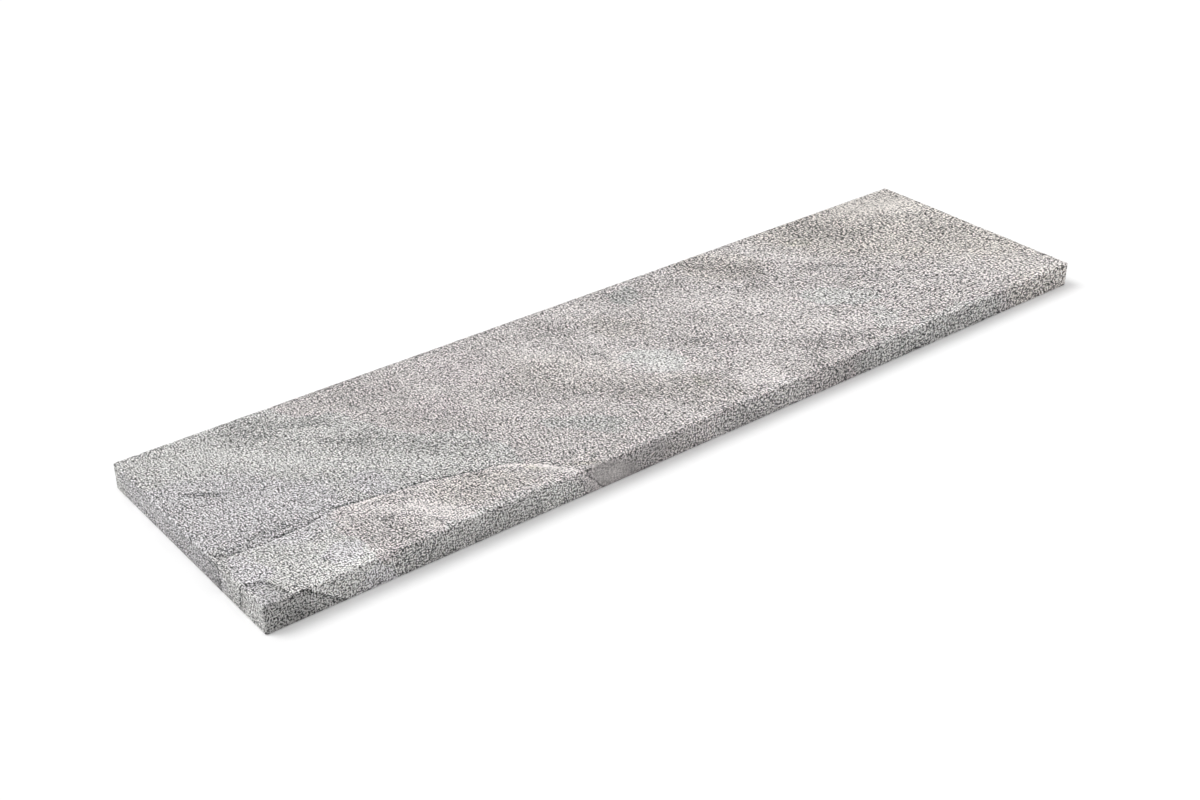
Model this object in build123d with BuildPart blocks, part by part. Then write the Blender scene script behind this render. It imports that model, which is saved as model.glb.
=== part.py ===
"""Stair tread: one solid slab of sawn stone, laid flat, with its walking face and corners eased.

X runs along the tread, Y from the nosing at the front (-Y) to the back edge (+Y), and Z up.
The origin is the middle of the underside.
"""

import os

from build123d import *

# Driving dimensions, in millimetres
length = 1100.0  # across the flight of stairs
depth = 300.0  # from the nosing to the back edge
thickness = 30.0  # from the bedding face to the walking face
edge_radius = 2.0  # round on the edges of the walking face and down the four corners
underside_bevel = 1.0  # small bevel round the bedding face, which keeps its edge from chipping

with BuildPart() as stair_tread:
    # Sawn blank: a rectangle in plan, raised to the full thickness
    with BuildSketch(Plane.XY):
        Rectangle(length, depth)
    extrude(amount=thickness)

    # Eased edges: the four upright corners and the rim of the walking face, rounded in one pass
    corner_edges = stair_tread.edges().filter_by(Axis.Z)
    walking_face = stair_tread.faces().sort_by(Axis.Z)[-1]
    fillet(corner_edges + walking_face.edges(), radius=edge_radius)

    # Bevel round the bedding face, which follows the rounded corners
    bedding_face = stair_tread.faces().sort_by(Axis.Z)[0]
    chamfer(bedding_face.edges(), length=underside_bevel)

stair_tread.part.label = "stair_tread"

os.makedirs("parts", exist_ok=True)
export_step(stair_tread.part, "parts/stair_tread.step")
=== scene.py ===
"""Stair tread of rough, speckled stone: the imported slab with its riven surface, camera, floor and light.

The stone's markings are laid out in millimetres: x from the left end, v from the back edge towards the
nosing. Past the top's edges the layout runs on down the sides, as if they were folded out flat.
Tones are steps of display brightness, from 0 for black to 255 for white.
"""
import math
from dataclasses import dataclass

import bpy
import numpy as np
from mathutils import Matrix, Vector, noise


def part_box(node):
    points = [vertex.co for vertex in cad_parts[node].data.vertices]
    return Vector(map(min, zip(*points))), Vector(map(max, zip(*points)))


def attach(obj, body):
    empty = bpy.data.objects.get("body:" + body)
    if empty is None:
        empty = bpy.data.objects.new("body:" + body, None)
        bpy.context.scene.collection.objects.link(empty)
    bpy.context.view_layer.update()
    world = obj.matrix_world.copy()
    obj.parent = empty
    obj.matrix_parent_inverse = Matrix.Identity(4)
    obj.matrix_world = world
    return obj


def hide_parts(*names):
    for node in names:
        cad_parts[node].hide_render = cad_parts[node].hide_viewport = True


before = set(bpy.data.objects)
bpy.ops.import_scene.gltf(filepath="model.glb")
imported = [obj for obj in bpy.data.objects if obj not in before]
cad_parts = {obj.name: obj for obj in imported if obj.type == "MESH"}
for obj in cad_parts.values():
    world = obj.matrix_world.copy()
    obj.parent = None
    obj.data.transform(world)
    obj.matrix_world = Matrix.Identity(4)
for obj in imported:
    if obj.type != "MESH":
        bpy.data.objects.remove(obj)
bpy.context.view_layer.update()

MM = 0.001  # one millimetre, in the scene's metres
NODE = "stair_tread"
LOW, HIGH = (np.array(corner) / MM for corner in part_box(NODE))
LENGTH, DEPTH, THICKNESS = HIGH - LOW

# Mesh of the slab
EDGE_RADIUS = 2.0  # round on the top's rim and down the corners, as on the solid
UNDERSIDE_BEVEL = 1.0
CELL = 2.1  # spacing of the top's grid
ARC_STEPS = 4  # rows round the edge from the top to the side
CORNER_STEPS = 4  # columns round each upright corner
WALL_ROWS = 9
SHARP_ANGLE = 40.0  # degrees that an edge has to turn to be shaded as sharp

# Noise
OCTAVES = 4
FEW_OCTAVES = 3
OCTAVE_FALL = 1.0  # how fast finer octaves weaken
OCTAVE_STEP = 2.0  # each octave is this many times finer

# Relief, always cut inwards from the solid's faces
SWELL_DEPTH = 0.4  # long riven waves, which run with the bands
SWELL_SIZE = (150.0, 45.0)  # length and width
SWELL_START = (0, 0, 0)  # place in the noise, so that no two uses of it look alike
PITTING_DEPTH = 0.15
PITTING_SIZE = 7.0
LEDGE_DEPTH = 0.5  # drop behind the main cleft
LEDGE_REACH = 80.0  # distance over which the lowered side climbs back
LEDGE_STEP = (-1.3, 0.3)  # distances from the cleft between which the drop lies, minus being behind it
CORNER_LEDGE_DEPTH = 0.4
CORNER_LEDGE_STEP = (-0.3, 1.3)
CHIP_DEPTH = 0.6  # small breaks along the top's edges
CHIP_SIZE = 9.0
CHIP_START = 500
CHIP_NOISE = (0.1, 0.7)  # noise at which a break starts and at which it is full
CHIP_REACH = (0.5, 4.0)  # distances from the edge between which a break fades out
SIDE_RELIEF = 0.4  # share of the waves and pits that the sawn sides show
RELIEF_FADE = 5.0  # height above the floor at which the sides' relief is full

# Markings
BAND_TURN = 40.0  # bands run from back left to front right, at this angle to the length
PATCH_REACH = 1.25  # a patch has faded out at this many times its half length and half width


@dataclass
class Patch:
    """An oval over which a value changes, with its length turned from the x axis towards the front."""

    x: float
    v: float
    length: float
    width: float
    change: float
    turn: float = BAND_TURN
    edge: float = 0.9  # width of its soft edge, as a share of the half length and half width


# Pale plates, blooms and streaks, in tones
PALE = [
    Patch(60, 40, 110, 60, 7, 30),
    Patch(40, 96, 12, 9, 12, 60, 0.5),
    Patch(120, 95, 150, 44, 9, 42),
    Patch(225, 185, 170, 40, 8, 42),
    Patch(165, 5, 26, 22, 10, 0),
    Patch(30, 255, 30, 24, 5, 50),
    Patch(96, 270, 66, 24, 9, 75, 0.6),
    Patch(115, 285, 30, 26, 6, 30),
    Patch(148, 226, 40, 14, 9, 20, 0.5),
    Patch(168, 240, 36, 20, 18, 35, 0.5),
    Patch(204, 270, 80, 24, 24, 56, 0.5),
    Patch(188, 290, 24, 10, 12, 60, 0.5),
    Patch(216, 240, 40, 16, 8, 50, 0.5),
    Patch(272, 285, 60, 24, 4, 50),
    Patch(455, 85, 130, 34, 12, 55),
    Patch(500, 152, 70, 34, 13, 50),
    Patch(545, 165, 90, 50, 17, 50, 0.8),
    Patch(562, 200, 80, 30, 10, 45),
    Patch(612, 270, 74, 34, 18, 35, 0.6),
    Patch(550, 28, 60, 36, 8),
    Patch(530, 95, 40, 24, 10, 30),
    Patch(695, 105, 130, 70, 11, 45),
    Patch(690, 195, 90, 40, 8, 45),
    Patch(655, 250, 100, 70, 5, 40),
    Patch(752, 170, 100, 80, 9, 45),
    Patch(770, 235, 80, 40, 10, 40),
    Patch(812, 255, 70, 30, 10, 40),
    Patch(812, 180, 90, 50, 7, 40),
    Patch(828, 48, 70, 40, 8, 45),
    Patch(850, 85, 70, 14, 12, 42, 0.5),
    Patch(1040, 30, 150, 70, 15, 25),
    Patch(1075, 60, 60, 50, 12, 60),
    Patch(1045, 245, 170, 90, 8, 40),
    Patch(975, 255, 80, 50, 5, 45),
]

# Dark bands and streaks, in tones
DARK = [
    Patch(43, 104, 50, 10, -32, 44, 0.5),
    Patch(22, 205, 60, 22, -12, 0),
    Patch(70, 198, 90, 14, -6, 8),
    Patch(44, 292, 24, 14, -14, 60, 0.7),
    Patch(132, 28, 60, 50, -13, 40, 0.5),
    Patch(184, 54, 50, 14, -18, 32, 0.6),
    Patch(194, 97, 52, 13, -16, 50, 0.6),
    Patch(208, 117, 20, 13, -11, 30, 0.6),
    Patch(232, 135, 110, 38, -10, 52),
    Patch(140, 120, 30, 12, -8, 50),
    Patch(268, 180, 90, 40, -8, 40),
    Patch(265, 30, 120, 80, -7, 45),
    Patch(245, 62, 40, 16, -8, 60),
    Patch(290, 110, 110, 60, -7, 50),
    Patch(405, 40, 90, 60, -4, 50),
    Patch(102, 234, 50, 26, -8, 20),
    Patch(145, 272, 60, 50, -9, 70, 0.5),
    Patch(160, 253, 16, 8, -14, 30, 0.5),
    Patch(265, 240, 22, 10, -18, 40, 0.5),
    Patch(262, 262, 60, 34, -6, 40),
    Patch(412, 125, 100, 50, -8, 45),
    Patch(448, 178, 90, 40, -11, 40),
    Patch(415, 238, 110, 36, -8, 40),
    Patch(500, 222, 110, 44, -10, 42),
    Patch(536, 218, 20, 12, -14, 30, 0.5),
    Patch(530, 275, 60, 26, -6, 60),
    Patch(570, 250, 70, 50, -11, 40),
    Patch(500, 45, 80, 44, -9, 55),
    Patch(566, 86, 80, 44, -9, 55),
    Patch(622, 30, 70, 46, -13, 20),
    Patch(685, 35, 70, 40, -10, 40),
    Patch(606, 165, 80, 26, -14, 56),
    Patch(658, 185, 50, 24, -6, 45),
    Patch(712, 256, 90, 50, -9, 30),
    Patch(665, 290, 70, 20, -9, 10),
    Patch(765, 272, 70, 36, -8, 25),
    Patch(745, 20, 80, 46, -15, 40),
    Patch(775, 70, 90, 54, -17, 50),
    Patch(755, 105, 60, 24, -13, 10),
    Patch(860, 118, 60, 22, -12, 35),
    Patch(885, 160, 80, 50, -9, 60),
    Patch(925, 40, 130, 84, -14, 40),
    Patch(960, 80, 60, 30, -10, 20),
    Patch(915, 115, 40, 16, -12, 10),
    Patch(955, 122, 24, 18, -16, 0),
    Patch(935, 187, 24, 14, -13, 20),
    Patch(1000, 75, 60, 36, -8, 20),
    Patch(1055, 140, 90, 40, -9, 60),
    Patch(890, 285, 120, 30, -7, 10),
]

# Darker and paler parts of the front, back and left faces, in tones
FACE_TONE = 150.0  # tone of the front that these changes are measured against
FACES = [
    Patch(90, 316, 170, 70, 10, 0, 0.6),
    Patch(9, 314, 16, 30, 11, 0, 0.8),
    Patch(34, 324, 30, 16, -12, 10, 0.8),
    Patch(64, 323, 56, 22, 14, 37, 0.8),
    Patch(165, 316, 90, 40, -4, 20),
    Patch(325, 316, 60, 50, 13, 20, 0.7),
    Patch(378, 314, 50, 40, 6, 35, 0.7),
    Patch(380, 303, 32, 9, -15, 8, 0.8),
    Patch(388, 318, 22, 14, 7, 30, 0.8),
    Patch(430, 318, 60, 40, -12, 20, 0.7),
    Patch(515, 314, 100, 40, 11, 45),
    Patch(625, 316, 150, 50, 8, 10, 0.6),
    Patch(725, 316, 60, 34, -5, 10),
    Patch(860, 316, 190, 60, 5, 0, 0.5),
    Patch(1050, 316, 130, 60, 13, 0, 0.6),
    # Painted shade: the back face a little darker, to set it apart from the top
    Patch(550, -18, 1300, 44, -9, 0, 0.4),
    Patch(-18, 150, 44, 420, 6, 0, 0.4),
    Patch(-15, 165, 50, 110, -7, 0, 0.6),
    Patch(-15, 238, 50, 40, -6, 0, 0.6),
    Patch(-15, 285, 50, 40, 8, 0, 0.6),
    Patch(-32, 150, 28, 420, -14, 0),
]

# Smooth parts: 0 is speckled as elsewhere, and 1 has no grains
SMOOTH = [
    Patch(388, 315, 72, 34, 0.65, 25, 0.6),
    Patch(362, 323, 26, 12, 0.4, 45, 0.7),
    Patch(330, 277, 32, 16, 0.4, 52, 0.7),
    Patch(452, 312, 34, 20, 0.3, 20, 0.6),
    Patch(1040, 25, 150, 56, 0.4, 15),
    Patch(20, 282, 30, 36, 0.3, 70),
    Patch(550, 322, 1300, 44, 0.12, 0),
]

# Warmth of the stone: 0 is purplish grey, then greenish grey, pink, mauve and beige, up to 1 for ochre
WARMTH_MIDDLE = 0.6
GREEN_SIDE_WARMTH = -0.4  # change on the greenish side of the border
WARMTH = [
    Patch(45, 145, 220, 116, -0.25, 35, 0.4),
    Patch(178, 193, 34, 50, -0.2, 0, 0.4),
    Patch(14, 245, 24, 60, -0.25, 20, 0.4),
    Patch(98, 273, 36, 34, -0.25, 0, 0.4),
    Patch(14, 284, 30, 30, -0.15, 0),
    Patch(-16, 125, 50, 190, -0.25, 0, 0.3),
    Patch(372, 55, 100, 76, -0.18, 40, 0.5),
    Patch(308, 112, 56, 44, -0.18, 40, 0.5),
    Patch(285, 40, 50, 60, -0.1, 40),
    Patch(415, 236, 104, 36, -0.4, 40, 0.4),
    Patch(548, 172, 70, 52, -0.4, 45, 0.4),
    Patch(622, 34, 44, 46, -0.4, 20, 0.4),
    Patch(818, 190, 104, 44, -0.4, 40, 0.4),
    Patch(818, 256, 56, 34, -0.35, -30, 0.5),
    Patch(235, 320, 230, 60, -0.38, 0, 0.3),
    Patch(430, 320, 50, 50, -0.25, 0, 0.4),
    Patch(590, 320, 150, 60, -0.3, 0, 0.4),
    Patch(860, 320, 250, 60, -0.38, 0, 0.3),
    Patch(480, 165, 290, 80, 0.11, 52, 0.5),
    Patch(1010, 70, 440, 220, 0.27, 42, 0.5),
    Patch(760, 40, 110, 80, 0.2, 40, 0.5),
    Patch(1060, 250, 130, 100, 0.12, 0),
    Patch(1040, 320, 130, 60, 0.2, 0, 0.5),
    Patch(258, 262, 90, 60, 0.15, 30, 0.5),
    Patch(566, 86, 80, 50, 0.15, 50, 0.5),
    Patch(640, 200, 60, 40, -0.14, 40, 0.5),
    Patch(884, 55, 36, 24, 0.3, 30),
    Patch(554, 238, 18, 30, 0.35, 30),
    Patch(363, 287, 26, 18, 0.4, 40),
    Patch(318, 266, 20, 18, 0.35, 40),
]

# Border between greenish stone on the left and mauve on the right, behind the main cleft and before it
BACK_BORDER = [
    (160, -31), (175, 0), (185, 35), (215, 58), (240, 95), (262, 130), (280, 150), (305, 168), (315, 195),
    (318, 245),
]
BACK_BORDER_BLEND = (-4, 4)  # distances from the border between which the colours blend
FRONT_BORDER = [(122, 215), (112, 238), (120, 262), (119, 300), (128, 331)]
FRONT_BORDER_BLEND = (-6, 4)

# Main cleft, from the foot of the left end over the top and down the front
MAIN_CLEFT = [
    (-31, 221), (-10, 220), (2, 216), (14, 214), (28, 214), (45, 216), (60, 215), (92, 215), (103, 211),
    (116, 209), (130, 207), (152, 210), (185, 217), (225, 222), (252, 231), (270, 237), (286, 238),
    (300, 245), (313, 252), (323, 262), (335, 275), (345, 290), (351, 299), (355, 307), (366, 320),
    (376, 331),
]
# Small cleft across the near left corner
CORNER_CLEFT = [
    (-40, 250), (0, 257), (11, 261), (18, 264), (22, 270), (25, 278), (28, 287), (31, 296), (38, 297),
    (45, 298), (50, 305), (60, 313), (70, 319), (80, 326), (88, 332),
]
JAG_REACH = 1.3  # how far both clefts stray from their lines
JAG_SIZE = 14.0

# Along the main cleft, by x: how dark and wide its line of painted shade at the ledge's foot is, and how
# bright and wide its broken rim, pale from the fresh break and from a painted highlight
LEDGE_FOOT_SHADE_DARKNESS = [
    (-31, 0.9), (0, 0.7), (3, 0.2), (12, 0.3), (16, 0.5), (55, 0.5), (64, 1.0), (112, 1.0), (118, 0.3),
    (126, 0.3), (134, 1.1), (165, 0.9), (180, 0.4), (205, 0.6), (222, 1.2), (268, 1.2), (282, 0.3),
    (340, 0.1), (349, 0.3), (353, 1.6), (376, 1.6),
]
LINE_WIDTH = [(-31, 3.0), (345, 2.6), (352, 0.6), (376, 0.6)]
RIM_PALENESS_AND_HIGHLIGHT = [
    (-31, 0.5), (4, 0.3), (16, 1.0), (92, 0.9), (102, 1.3), (114, 1.2), (122, 0.6), (148, 1.2), (162, 1.4),
    (185, 0.8), (260, 0.4), (285, 0.6), (300, 1.2), (314, 1.1), (328, 1.4), (342, 1.15), (350, 0.7),
    (356, 0.5), (376, 0.5),
]
RIM_WIDTH = [
    (-31, 3.0), (110, 3.0), (140, 3.5), (160, 7.0), (175, 4.0), (275, 4.0), (292, 8.0), (312, 10.0),
    (330, 14.0), (344, 11.0), (351, 6.0), (376, 8.0),
]

# Stone about the clefts, and painted shade behind the main one
BEHIND_BLEND = (-1.5, 0.5)  # distances from the main cleft between which the stone behind it ends
BEHIND_LEDGE_SHADE_TONE = -9.0  # painted shade just behind the main cleft, below its ledge
BEHIND_LEDGE_REACH = 14.0  # distance over which that darkness fades
NEAR_PLATE_TONE = 6.0  # of the greenish plate before the cleft
LEFT_END_SHADE = 0.86  # of the left end just behind the main cleft
LEFT_END_REACH = 18.0
LEFT_END_BLEND = (-1, 1)  # by x, over the edge from the left end to the top
CORNER_PLATE_SHADE = [(294, 0.935), (302, 0.81)]  # by v, over the edge to the front

# Bands and streaks all over the stone
BAND_TONE = 5.0
BAND_SIZE = (130.0, 26.0)  # length and width
BAND_START = (3, 5, 0)
STREAK_TONE = 3.0
STREAK_SIZE = (30.0, 5.0)
STREAK_START = (13, 5, 0)
GRAIN_SIZE = [(0, 0.88), (400, 0.95), (1100, 1.25)]  # by x
MOTTLING = [(0, 0.1), (300, 0.15), (1100, 0.2)]  # contrast of coarse grains and clouds, by x

# Ragged edges of the patches: a broad push and a streaky one, each along x and along v
PUSH = 9.0
PUSH_SIZE = 40.0
PUSH_STARTS = ((0, 0, 0), (0, 0, 300))
FRAY = 8.0
FRAY_SIZE = (60.0, 12.0)  # length and width
FRAY_STARTS = ((0, 0, 7), (0, 0, 19))

# Texture map for export, in millimetres of stone
MAP_SIZE = 752.0
MAP_GAP = 6.0
UNDERSIDE_MAP_SCALE = 0.45


def smooth_step(low, high, values):
    """0 below low, 1 above high, and an S-curve between them."""
    share = np.clip((values - low) / (high - low), 0, 1)
    return share * share * (3 - 2 * share)


def fractal(points, size, octaves=OCTAVES):
    """Cloudy noise of about -1 to 1 at each point, with its broadest features about size across."""
    scaled = np.asarray(points, float) / size
    return np.array([noise.fractal(Vector(point), OCTAVE_FALL, OCTAVE_STEP, octaves) for point in scaled])


def on_plane(layout):
    """Layout places as points of a plane."""
    return np.column_stack([layout, np.zeros(len(layout))])


def along_bands(layout):
    """Layout places turned so that the first axis runs along the bands and the second across them."""
    turn = math.radians(BAND_TURN)
    along = layout[:, 0] * math.cos(turn) + layout[:, 1] * math.sin(turn)
    across = layout[:, 1] * math.cos(turn) - layout[:, 0] * math.sin(turn)
    return np.column_stack([along, across, np.zeros(len(layout))])


def band_noise(layout, size, start, octaves=OCTAVES):
    """Noise that is drawn out along the bands, with features of about the given length and width."""
    length, width = size
    return fractal(along_bands(layout) * (1 / length, 1 / width, 1) + start, 1.0, octaves)


def signed_distance(layout, line):
    """Distance of each layout place from a line, positive on the right of its course from above."""
    best = np.full(len(layout), np.inf)
    side = np.ones(len(layout))
    for start, end in zip(line, line[1:]):
        start = np.array(start, float)
        step = np.array(end, float) - start
        away = layout - start
        share = np.clip(away @ step / (step @ step), 0, 1)
        gap = away - share[:, None] * step
        distance = np.hypot(gap[:, 0], gap[:, 1])
        nearer = distance < best
        best[nearer] = distance[nearer]
        side[nearer] = np.sign(step[0] * away[:, 1] - step[1] * away[:, 0])[nearer]
    return best * side


def fade_behind(main_cleft, reach):
    """1 before the main cleft, and less and less behind it."""
    return np.exp(np.minimum(main_cleft, 0) / reach)


def along_length(layout, stops):
    """A value that changes along the tread's length, from pairs of x and value."""
    xs, values = zip(*stops)
    return np.interp(layout[:, 0], xs, values)


def sum_of_patches(layout, patches):
    """What the patches add up to at each layout place."""
    total = np.zeros(len(layout))
    for patch in patches:
        turn = math.radians(patch.turn)
        x, v = (layout - (patch.x, patch.v)).T
        along = (x * math.cos(turn) + v * math.sin(turn)) / (patch.length / 2)
        across = (v * math.cos(turn) - x * math.sin(turn)) / (patch.width / 2)
        outside = smooth_step(PATCH_REACH - patch.edge, PATCH_REACH, np.hypot(along, across))
        total += patch.change * (1 - outside)
    return total


def grid_lines(low, high):
    """Even lines about a cell apart, with one in the middle."""
    cells = 2 * round((high - low) / CELL / 2)
    return np.linspace(low, high, cells + 1)


def top_faces(columns, rows):
    """Cells of the top's grid, whose points run row by row."""
    faces = []
    for row in range(rows):
        for column in range(columns):
            near = row * (columns + 1) + column
            far = near + columns + 1
            faces.append((near, near + 1, far + 1, far))
    return faces


def rim_of_grid(columns, rows):
    """The top grid's rim, anticlockwise from the near left corner: column, row and outward heading."""
    sides = [
        ([(column, 0) for column in range(columns + 1)], -90),
        ([(columns, row) for row in range(rows + 1)], 0),
        ([(column, rows) for column in range(columns, -1, -1)], 90),
        ([(0, row) for row in range(rows, -1, -1)], 180),
    ]
    rim = []
    for places, heading in sides:
        rim += [(column, row, heading) for column, row in places]
        last_column, last_row = places[-1]
        for step in range(1, CORNER_STEPS):
            rim.append((last_column, last_row, heading + 90 * step / CORNER_STEPS))
    return rim


def side_profile():
    """Rows down the side: reach out from the top's rim, drop from the top, and tilt of the face."""
    rows = []
    for step in range(1, ARC_STEPS + 1):
        tilt = math.pi / 2 * step / ARC_STEPS
        rows.append((EDGE_RADIUS * math.sin(tilt), EDGE_RADIUS * (1 - math.cos(tilt)), tilt))
    for drop in np.linspace(EDGE_RADIUS, THICKNESS - UNDERSIDE_BEVEL, WALL_ROWS + 1)[1:]:
        rows.append((EDGE_RADIUS, drop, math.pi / 2))
    rows.append((EDGE_RADIUS - UNDERSIDE_BEVEL, THICKNESS, math.pi / 2))
    return rows


def faces_between(upper, lower):
    """Faces from one row of points to the next: triangles where the upper row stays in one place."""
    faces = []
    for place in range(len(upper)):
        after = (place + 1) % len(upper)
        face = (upper[place], lower[place], lower[after], upper[after])
        faces.append(face[:3] if upper[place] == upper[after] else face)
    return faces


def slab_surface():
    """Points, outward normals, layout places and faces of the plain slab, ending with the underside."""
    xs = grid_lines(LOW[0] + EDGE_RADIUS, HIGH[0] - EDGE_RADIUS)
    ys = grid_lines(LOW[1] + EDGE_RADIUS, HIGH[1] - EDGE_RADIUS)
    columns = len(xs) - 1
    rows = len(ys) - 1
    grid_x, grid_y = (axis.ravel() for axis in np.meshgrid(xs, ys))
    points = [np.column_stack([grid_x, grid_y, np.full(len(grid_x), HIGH[2])])]
    normals = [np.tile((0.0, 0.0, 1.0), (len(grid_x), 1))]
    layout = [np.column_stack([grid_x - LOW[0], HIGH[1] - grid_y])]
    faces = top_faces(columns, rows)

    rim = rim_of_grid(columns, rows)
    upper = [row * (columns + 1) + column for column, row, _ in rim]
    heading = np.radians([heading for _, _, heading in rim])
    outward = np.column_stack([np.cos(heading), np.sin(heading)])
    base = points[0][upper]
    base_layout = layout[0][upper]
    count = len(grid_x)
    for reach, drop, tilt in side_profile():
        run = EDGE_RADIUS * tilt + max(0.0, drop - EDGE_RADIUS)
        points.append(np.column_stack([base[:, :2] + reach * outward, np.full(len(rim), HIGH[2] - drop)]))
        normals.append(np.column_stack([math.sin(tilt) * outward, np.full(len(rim), math.cos(tilt))]))
        layout.append(base_layout + run * outward * (1, -1))
        lower = list(range(count, count + len(rim)))
        count += len(rim)
        faces += faces_between(upper, lower)
        upper = lower
    faces.append(tuple(reversed(upper)))
    return np.concatenate(points), np.concatenate(normals), np.concatenate(layout), faces


def wandering(layout):
    """Layout places pushed about by noise, so that patches get ragged, streaky edges."""
    pushes = []
    for push_start, fray_start in zip(PUSH_STARTS, FRAY_STARTS):
        push = PUSH * fractal(on_plane(layout) + push_start, PUSH_SIZE)
        pushes.append(push + FRAY * band_noise(layout, FRAY_SIZE, fray_start, FEW_OCTAVES))
    return layout + np.column_stack(pushes)


def stone_fields(layout):
    """Named values over the stone that its relief and its material share."""
    jagged = JAG_REACH * fractal(on_plane(layout), JAG_SIZE)
    main_cleft = signed_distance(layout, MAIN_CLEFT) + jagged
    corner_cleft = signed_distance(layout, CORNER_CLEFT) + jagged
    behind = 1 - smooth_step(*BEHIND_BLEND, main_cleft)

    moved = wandering(layout)
    nearly = (layout + moved) / 2
    near_plate = (1 - behind) * smooth_step(*FRONT_BORDER_BLEND, signed_distance(moved, FRONT_BORDER))
    far_plate = behind * smooth_step(*BACK_BORDER_BLEND, signed_distance(moved, BACK_BORDER))
    green_side = near_plate + far_plate

    tone = sum_of_patches(nearly, PALE + DARK)
    tone += BAND_TONE * band_noise(layout, BAND_SIZE, BAND_START)
    tone += STREAK_TONE * band_noise(layout, STREAK_SIZE, STREAK_START, FEW_OCTAVES)
    # Painted shade behind the main cleft's ledge
    tone += BEHIND_LEDGE_SHADE_TONE * behind * fade_behind(main_cleft, BEHIND_LEDGE_REACH)
    tone += NEAR_PLATE_TONE * near_plate
    shade = 1 + sum_of_patches(nearly, FACES) / FACE_TONE
    left_end = 1 - smooth_step(*LEFT_END_BLEND, layout[:, 0])
    shade -= (1 - LEFT_END_SHADE) * left_end * behind * fade_behind(main_cleft, LEFT_END_REACH)
    return {
        "tone": tone,
        "shade": shade,
        "corner_shade": np.interp(layout[:, 1], *zip(*CORNER_PLATE_SHADE)),
        "warmth": WARMTH_MIDDLE + GREEN_SIDE_WARMTH * green_side + sum_of_patches(moved, WARMTH),
        "grain_size": along_length(layout, GRAIN_SIZE),
        "mottling": along_length(layout, MOTTLING),
        "smoothness": np.clip(sum_of_patches(nearly, SMOOTH), 0, 1),
        "main_cleft": main_cleft,
        "corner_cleft": corner_cleft,
        "ledge_foot_shade_darkness": along_length(layout, LEDGE_FOOT_SHADE_DARKNESS),
        "line_width": along_length(layout, LINE_WIDTH),
        "rim_paleness_and_highlight": along_length(layout, RIM_PALENESS_AND_HIGHLIGHT),
        "rim_width": along_length(layout, RIM_WIDTH),
    }


def from_zero(values):
    """Noise of -1 to 1 brought to 0 to 1."""
    return 0.5 + 0.5 * np.clip(values, -1, 1)


def relief_depth(points, normals, layout, fields):
    """Depth cut inwards at each point, in millimetres."""
    upward = normals[:, 2]
    depth = SWELL_DEPTH * from_zero(band_noise(layout, SWELL_SIZE, SWELL_START))
    depth += PITTING_DEPTH * from_zero(fractal(points, PITTING_SIZE, FEW_OCTAVES))
    depth *= SIDE_RELIEF + (1 - SIDE_RELIEF) * upward
    main_cleft = fields["main_cleft"]
    behind = 1 - smooth_step(*LEDGE_STEP, main_cleft)
    depth += LEDGE_DEPTH * behind * fade_behind(main_cleft, LEDGE_REACH) * upward
    depth += CORNER_LEDGE_DEPTH * smooth_step(*CORNER_LEDGE_STEP, fields["corner_cleft"])

    from_ends = np.minimum(points[:, 0] - LOW[0], HIGH[0] - points[:, 0])
    from_long_sides = np.minimum(points[:, 1] - LOW[1], HIGH[1] - points[:, 1])
    from_arris = np.hypot(np.minimum(from_ends, from_long_sides), HIGH[2] - points[:, 2])
    chips = smooth_step(*CHIP_NOISE, fractal(points + CHIP_START, CHIP_SIZE, FEW_OCTAVES))
    depth += CHIP_DEPTH * chips * (1 - smooth_step(*CHIP_REACH, from_arris))

    return depth * smooth_step(UNDERSIDE_BEVEL, RELIEF_FADE, points[:, 2] - LOW[2])


def add_bake_map(mesh, points, layout):
    """Texture map for export: the folded-out slab in two halves, one above the other, and the underside."""
    corners = np.empty(len(mesh.loops), np.int32)
    mesh.loops.foreach_get("vertex_index", corners)
    sizes = np.empty(len(mesh.polygons), np.int32)
    mesh.polygons.foreach_get("loop_total", sizes)
    middles = np.empty(3 * len(mesh.polygons), np.float32)
    mesh.polygons.foreach_get("center", middles)
    right_half = np.repeat(middles[::3] > 0, sizes)

    places = layout[corners] + THICKNESS + MAP_GAP + UNDERSIDE_BEVEL
    places[right_half] += (-LENGTH / 2 - THICKNESS, DEPTH + 2 * THICKNESS + 2 * MAP_GAP)
    underside = slice(len(corners) - sizes[-1], None)
    flat = points[corners[underside]]
    places[underside, 0] = MAP_SIZE - MAP_GAP - UNDERSIDE_MAP_SCALE * (flat[:, 1] - LOW[1])
    places[underside, 1] = MAP_GAP + UNDERSIDE_MAP_SCALE * (flat[:, 0] - LOW[0])
    bake_map = mesh.uv_layers.new(name="OFBake")
    bake_map.data.foreach_set("uv", (places / MAP_SIZE).astype(np.float32).ravel())


def tread_mesh():
    """The slab's mesh in metres, with relief and with the stone's fields on its points."""
    points, normals, layout, faces = slab_surface()
    fields = stone_fields(layout)
    depth = relief_depth(points, normals, layout, fields)
    points = points - normals * depth[:, None]
    mesh = bpy.data.meshes.new(NODE)
    mesh.from_pydata((points * MM).tolist(), [], faces)
    for name, values in fields.items():
        mesh.attributes.new(name, "FLOAT", "POINT").data.foreach_set("value", values.astype(np.float32))
    sawn = np.zeros(len(faces), np.float32)
    sawn[-1] = 1  # the underside
    mesh.attributes.new("sawn", "FLOAT", "FACE").data.foreach_set("value", sawn)
    add_bake_map(mesh, points, layout)
    mesh.shade_smooth()
    mesh.set_sharp_from_angle(angle=math.radians(SHARP_ANGLE))
    return mesh


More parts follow.
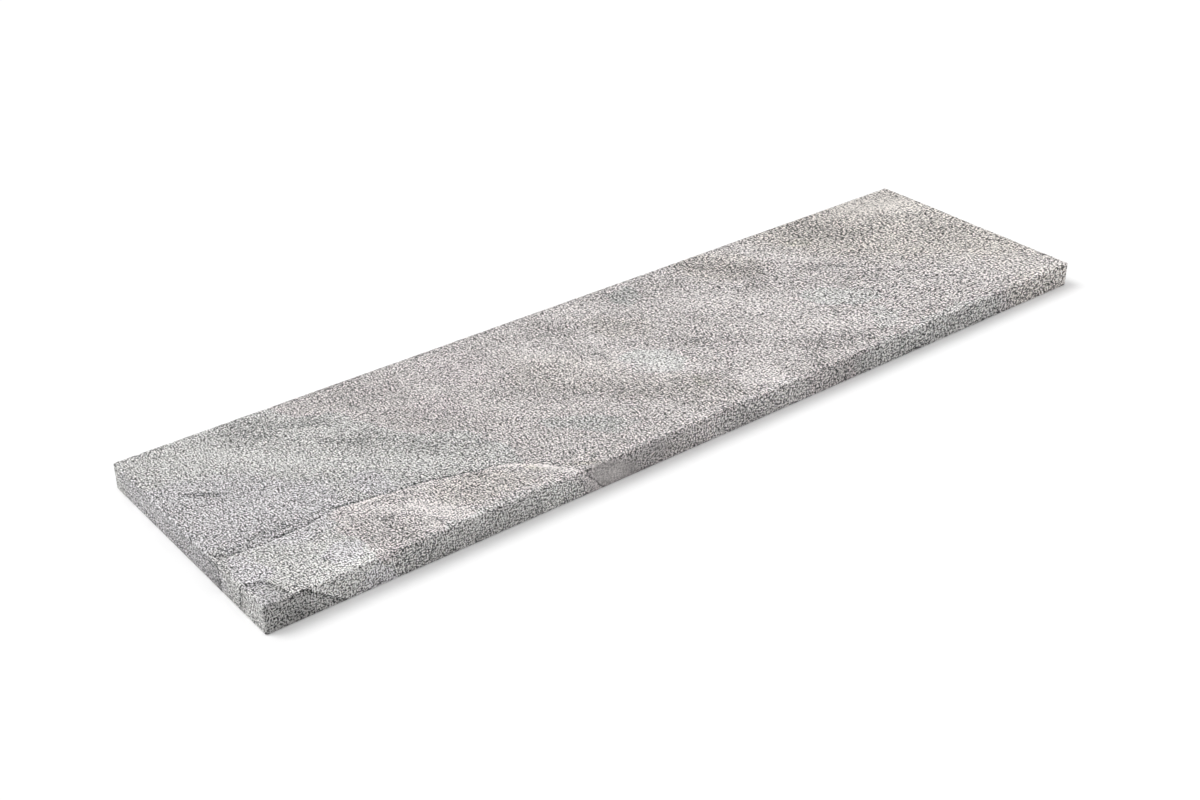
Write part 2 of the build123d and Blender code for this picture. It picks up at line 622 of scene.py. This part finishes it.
# Grains of the stone, which are dark, grey or pale
GRAIN_REACH = 1.5  # from a grain to its neighbours along each axis, in grain sizes
NEIGHBOUR_SHARE = 0.125  # of each of four neighbours, which is taken off
DARK_GRAIN_TONE = 45.0
PALE_GRAIN_TONE = 250.0
GREY_GRAINS = 0.2  # about the share of grains between dark and pale
PALE_GRAINS = 0.517  # about the share of pale grains where there are no markings
PALE_GRAINS_PER_TONE = 0.0075  # about the change of that share which makes the stone one tone paler
SMOOTH_TONE = 189.0  # of stone without grains

# Coarse grains and clouds
COARSE_GRAIN_SIZE = 2.2
COARSE_GRAIN_TONE = 36.0
MOTTLE_SIZE = 9.0
MOTTLE_TONE = 40.0
MOTTLE_DETAIL = 3.0
CLOUD_DETAIL = 2.0  # of all other clouds
CLOUD_ROUGHNESS = 0.6

# Clefts, by distances before them, with minus for behind
CLEFT_JAG = 2.0  # fine jags of the lines and the rim
CLEFT_JAG_SIZE = 4.0
# Painted shade: the main cleft's dark line at the foot of its ledge, on the lowered side
LEDGE_FOOT_SHADE_TONE = -30.0
LINE_FADE = 1.6  # distance over which the line fades out behind
LINE_FRONT = (-0.7, 0.4)
LINE_GAPS = 2.0  # how broken the line is
LINE_GAP_SIZE = 12.0
# The main cleft's rim: the pale fresh break along the raised plate's edge, with a painted highlight where
# that edge catches the light
RIM_PALENESS_AND_HIGHLIGHT_TONE = 30.0
RIM_BACK = (-0.6, 1.4)
RIM_FADE_START = 0.3  # share of the rim's width at which it starts to fade
RIM_GAPS = 1.8
RIM_GAP_SIZE = 8.0
CORNER_LINE_TONE = -28.0
CORNER_LINE_BACK = (-0.5, 0.4)
CORNER_LINE_FRONT = (1.0, 7.0)
CORNER_PLATE_BACK = (-0.4, 0.6)

# Saw marks on the underside, which run across the tread
SAW_MARK_TONE = 30.0
SAW_MARK_STRETCH = (1 / 6, 1 / 400, 0.0)

# Colour and gloss
WHITE_TONE = 255.0
DISPLAY_GAMMA = 2.2
TINTS = {
    0.0: (1.025, 1.0, 1.018, 1.0),  # purplish grey
    0.2: (1.013, 1.0, 0.981, 1.0),  # greenish grey
    0.42: (1.07, 1.0, 0.998, 1.0),  # pink
    0.6: (1.056, 1.0, 0.987, 1.0),  # mauve
    0.85: (1.062, 1.0, 0.956, 1.0),  # beige
    1.0: (1.04, 1.0, 0.92, 1.0),  # ochre
}
ROUGHNESS = 0.82
GRAIN_ROUGHNESS = 0.2  # spread between grains
SPECULAR = 0.3
GRAIN_HEIGHT = 0.16  # spread of heights in millimetres, as are the next two
COARSE_GRAIN_HEIGHT = 0.25
MOTTLE_HEIGHT = 0.5
BUMP_STRENGTH = 0.4


class Graph:
    """Short ways to add and join shader nodes; a value is a plain one or a node's output."""

    def __init__(self, tree):
        self.tree = tree
        tree.nodes.clear()

    def feed(self, socket, value):
        """Links an output to the socket, or sets the socket to a plain value."""
        if isinstance(value, bpy.types.NodeSocket):
            self.tree.links.new(value, socket)
        else:
            socket.default_value = value

    def add(self, kind, inputs, **settings):
        """A new node with its inputs and settings filled in."""
        node = self.tree.nodes.new(kind)
        for name, value in settings.items():
            setattr(node, name, value)
        for key, value in inputs.items():
            self.feed(node.inputs[key], value)
        return node

    def math(self, operation, *values):
        """Arithmetic on numbers."""
        return self.add("ShaderNodeMath", dict(enumerate(values)), operation=operation).outputs[0]

    def sum(self, first, *others):
        """All the values added up."""
        for other in others:
            first = self.math("ADD", first, other)
        return first

    def product(self, first, *others):
        """All the values multiplied."""
        for other in others:
            first = self.math("MULTIPLY", first, other)
        return first

    def vector(self, operation, first, second):
        """Vector arithmetic; the second value is a vector, or a number for SCALE."""
        inputs = {0: first, "Scale" if operation == "SCALE" else 1: second}
        return self.add("ShaderNodeVectorMath", inputs, operation=operation).outputs[0]

    def mix(self, share, first, second):
        """A blend from the first value to the second as the share goes from 0 to 1."""
        inputs = {"Factor": share, 2: first, 3: second}
        return self.add("ShaderNodeMix", inputs, data_type="FLOAT").outputs[0]

    def step(self, value, low, high, start=0.0, end=1.0):
        """An S-curve from start to end as value goes from low to high."""
        inputs = {"Value": value, "From Min": low, "From Max": high, "To Min": start, "To Max": end}
        return self.add("ShaderNodeMapRange", inputs, interpolation_type="SMOOTHSTEP").outputs["Result"]

    def field(self, name):
        """A named value that the mesh carries."""
        return self.add("ShaderNodeAttribute", {}, attribute_name=name).outputs["Fac"]

    def ramp(self, value, stops):
        """Colours that blend from stop to stop as value goes from 0 to 1."""
        node = self.add("ShaderNodeValToRGB", {"Fac": value})
        elements = node.color_ramp.elements
        while len(elements) < len(stops):
            elements.new(0.5)
        for element, (position, colour) in zip(elements, stops.items()):
            element.position = position
            element.color = colour
        return node.outputs["Color"]

    def grains(self, place, size):
        """A random value from -0.5 to 0.5 in each grain."""
        cells = self.add("ShaderNodeTexVoronoi", {"Vector": place, "Scale": self.math("DIVIDE", 1.0, size)})
        value = self.add("ShaderNodeSeparateColor", {"Color": cells.outputs["Color"]}).outputs["Red"]
        return self.math("SUBTRACT", value, 0.5)

    def distinct_grains(self, place, size):
        """Grains that differ from those about them, so that they seldom clump."""
        normal = self.add("ShaderNodeNewGeometry", {}).outputs["True Normal"]
        across = self.vector("CROSS_PRODUCT", normal, (1.0, 1.0, 1.0))
        along = self.vector("CROSS_PRODUCT", normal, across)
        grain = self.grains(place, size)
        for direction in (across, along):
            for reach in (-GRAIN_REACH, GRAIN_REACH):
                shift = self.vector("SCALE", direction, self.product(size, reach))
                neighbour = self.grains(self.vector("ADD", place, shift), size)
                grain = self.sum(grain, self.product(neighbour, -NEIGHBOUR_SHARE))
        return grain

    def clouds(self, place, size, detail=CLOUD_DETAIL):
        """Noise about 0, with its broadest features about size across."""
        inputs = {"Vector": place, "Scale": 1 / size, "Detail": detail, "Roughness": CLOUD_ROUGHNESS}
        return self.math("SUBTRACT", self.add("ShaderNodeTexNoise", inputs).outputs["Fac"], 0.5)

    def gaps(self, place, size, spread):
        """A factor about 1 that breaks up a line."""
        return self.sum(1.0, self.product(self.clouds(place, size), spread))


def cleft_tones(g, place, from_main, from_corner):
    """Tones at the clefts: the main one's dark line of painted shade at the ledge's foot and its broken
    bright rim, the fresh break's paleness with a painted highlight; and the corner one's line.
    """
    line_end = g.product(g.field("line_width"), -1.0)
    line_back = g.step(from_main, g.sum(line_end, -LINE_FADE), line_end)
    line_front = g.step(from_main, *LINE_FRONT, 1.0, 0.0)
    line_gaps = g.gaps(place, LINE_GAP_SIZE, LINE_GAPS)
    line = g.product(line_back, line_front, line_gaps, g.field("ledge_foot_shade_darkness"), LEDGE_FOOT_SHADE_TONE)

    rim_end = g.field("rim_width")
    rim_back = g.step(from_main, *RIM_BACK)
    rim_front = g.step(from_main, g.product(rim_end, RIM_FADE_START), rim_end, 1.0, 0.0)
    rim_gaps = g.gaps(place, RIM_GAP_SIZE, RIM_GAPS)
    rim = g.product(rim_back, rim_front, rim_gaps, g.field("rim_paleness_and_highlight"), RIM_PALENESS_AND_HIGHLIGHT_TONE)

    corner_back = g.step(from_corner, *CORNER_LINE_BACK)
    corner_front = g.step(from_corner, *CORNER_LINE_FRONT, 1.0, 0.0)
    return line, rim, g.product(corner_back, corner_front, CORNER_LINE_TONE)


def stone_material():
    """Rough stone: grains and mottling over the bands, patches and clefts that the mesh carries."""
    material = bpy.data.materials.new("speckled_stone")
    material.use_nodes = True
    g = Graph(material.node_tree)
    place = g.vector("SCALE", g.add("ShaderNodeTexCoord", {}).outputs["Object"], 1 / MM)
    sawn = g.field("sawn")
    riven = g.math("SUBTRACT", 1.0, sawn)

    grain = g.distinct_grains(place, g.field("grain_size"))
    coarse = g.grains(place, COARSE_GRAIN_SIZE)
    mottle = g.clouds(place, MOTTLE_SIZE, MOTTLE_DETAIL)
    blotches = g.sum(g.product(coarse, COARSE_GRAIN_TONE), g.product(mottle, MOTTLE_TONE))
    blotches = g.product(blotches, g.field("mottling"))

    jag = g.product(g.clouds(place, CLEFT_JAG_SIZE), CLEFT_JAG)
    from_main = g.sum(g.field("main_cleft"), jag)
    from_corner = g.sum(g.field("corner_cleft"), jag)
    markings_and_painted_light = g.sum(g.field("tone"), *cleft_tones(g, place, from_main, from_corner))
    streaks = g.vector("MULTIPLY", place, SAW_MARK_STRETCH)
    saw_marks = g.product(g.clouds(streaks, 1.0), SAW_MARK_TONE, sawn)

    # The markings, with the painted shade and highlight at the main cleft, change how many grains are pale
    change = g.sum(g.product(markings_and_painted_light, riven), saw_marks, blotches)
    paleness = g.sum(grain, PALE_GRAINS - 0.5, g.product(change, PALE_GRAINS_PER_TONE))
    tone = g.step(paleness, -GREY_GRAINS / 2, GREY_GRAINS / 2, DARK_GRAIN_TONE, PALE_GRAIN_TONE)
    tone = g.mix(g.product(g.field("smoothness"), riven), tone, g.sum(change, SMOOTH_TONE))
    corner_shade = g.step(from_corner, *CORNER_PLATE_BACK, 1.0, g.field("corner_shade"))
    shade = g.mix(sawn, g.product(g.field("shade"), corner_shade), 1.0)
    light = g.math("POWER", g.product(tone, shade, 1 / WHITE_TONE), DISPLAY_GAMMA)
    tint = g.ramp(g.mix(sawn, g.field("warmth"), WARMTH_MIDDLE), TINTS)

    heights = [(grain, GRAIN_HEIGHT), (coarse, COARSE_GRAIN_HEIGHT), (mottle, MOTTLE_HEIGHT)]
    height = g.sum(*(g.product(value, spread) for value, spread in heights))
    bump = g.add("ShaderNodeBump", {"Strength": BUMP_STRENGTH, "Distance": MM, "Height": height})
    shader = g.add("ShaderNodeBsdfPrincipled", {
        "Base Color": g.vector("SCALE", tint, light),
        "Roughness": g.sum(ROUGHNESS, g.product(grain, GRAIN_ROUGHNESS)),
        "Normal": bump.outputs["Normal"],
        "Specular IOR Level": SPECULAR,
    })
    g.add("ShaderNodeOutputMaterial", {"Surface": shader.outputs[0]})
    return material


# Camera, from the photo's straight outlines
CAMERA_TARGET = Vector((-85.9, -33.3, 15.0)) * MM
CAMERA_AZIMUTH = -38.77  # degrees from straight in front, with minus for the left
CAMERA_ELEVATION = 30.05
CAMERA_DISTANCE = 1764.6 * MM
CAMERA_LENS = 50.0
CAMERA_SENSOR = 36.0


def add_camera():
    """The photo's view of the tread."""
    data = bpy.data.cameras.new("camera")
    data.lens = CAMERA_LENS
    data.sensor_width = CAMERA_SENSOR
    data.sensor_fit = "HORIZONTAL"
    camera = bpy.data.objects.new("camera", data)
    bpy.context.collection.objects.link(camera)
    azimuth = math.radians(CAMERA_AZIMUTH)
    elevation = math.radians(CAMERA_ELEVATION)
    back = Vector((math.sin(azimuth) * math.cos(elevation), -math.cos(azimuth) * math.cos(elevation),
                   math.sin(elevation)))
    camera.location = CAMERA_TARGET + back * CAMERA_DISTANCE
    camera.rotation_euler = (-back).to_track_quat("-Z", "Y").to_euler()
    bpy.context.scene.camera = camera


# Floor and light
FLOOR_SIZE = 30.0  # metres
FLOOR_DROP = 0.2  # millimetres that the floor lies below the tread
FLOOR_WHITE = 0.9
FLOOR_GLOW = 0.14  # what the camera sees on top of the light that the floor gives back
SKY_ZENITH = 0.85
SKY_HORIZON = 0.05
SUN_STRENGTH = 1.52
SUN_SPREAD = 32.0  # degrees
SUN_FROM = Vector((-0.42, 0.4, 0.815))


def seen_directly(g):
    """1 for rays that show the background itself: from the camera, in a gloss or through glass."""
    path = g.add("ShaderNodeLightPath", {})
    seen = g.math("MAXIMUM", path.outputs["Is Camera Ray"], path.outputs["Is Glossy Ray"])
    return g.math("MAXIMUM", seen, path.outputs["Is Transmission Ray"])


def floor_material():
    """White paint, with a little glow that only the camera sees."""
    material = bpy.data.materials.new("white_floor")
    material.use_nodes = True
    g = Graph(material.node_tree)
    paint = g.add("ShaderNodeBsdfDiffuse", {"Color": (FLOOR_WHITE, FLOOR_WHITE, FLOOR_WHITE, 1)})
    glow = g.add("ShaderNodeEmission", {"Strength": g.product(seen_directly(g), FLOOR_GLOW)})
    both = g.add("ShaderNodeAddShader", {0: paint.outputs[0], 1: glow.outputs[0]})
    g.add("ShaderNodeOutputMaterial", {"Surface": both.outputs[0]})
    return material


def add_floor():
    """A plain white floor that keeps the tread's soft shadow."""
    half = FLOOR_SIZE / 2
    corners = [(-half, -half, 0), (half, -half, 0), (half, half, 0), (-half, half, 0)]
    mesh = bpy.data.meshes.new("floor")
    mesh.from_pydata(corners, [], [(0, 1, 2, 3)])
    mesh.materials.append(floor_material())
    floor = bpy.data.objects.new("floor", mesh)
    floor.location.z = (LOW[2] - FLOOR_DROP) * MM
    bpy.context.collection.objects.link(floor)


def add_light():
    """A pale sky, brighter overhead, and one soft lamp from above the back left."""
    world = bpy.data.worlds.new("studio")
    bpy.context.scene.world = world
    world.use_nodes = True
    g = Graph(world.node_tree)
    direction = g.add("ShaderNodeTexCoord", {}).outputs["Generated"]
    height = g.add("ShaderNodeSeparateXYZ", {0: direction}).outputs["Z"]
    sky = g.step(height, 0.0, 1.0, SKY_HORIZON, SKY_ZENITH)
    strength = g.mix(seen_directly(g), sky, 1.0)
    background = g.add("ShaderNodeBackground", {"Color": (1, 1, 1, 1), "Strength": strength})
    g.add("ShaderNodeOutputWorld", {"Surface": background.outputs[0]})

    lamp = bpy.data.lights.new("lamp", "SUN")
    lamp.energy = SUN_STRENGTH
    lamp.angle = math.radians(SUN_SPREAD)
    sun = bpy.data.objects.new("lamp", lamp)
    sun.rotation_euler = SUN_FROM.to_track_quat("Z", "Y").to_euler()
    bpy.context.collection.objects.link(sun)


def add_tread():
    """The riven slab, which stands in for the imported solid."""
    mesh = tread_mesh()
    mesh.materials.append(stone_material())
    tread = bpy.data.objects.new("riven_slab", mesh)
    bpy.context.collection.objects.link(tread)
    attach(tread, "root")
    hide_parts(NODE)


add_tread()
add_floor()
add_light()
add_camera()
bpy.context.scene.view_settings.view_transform = "Standard"
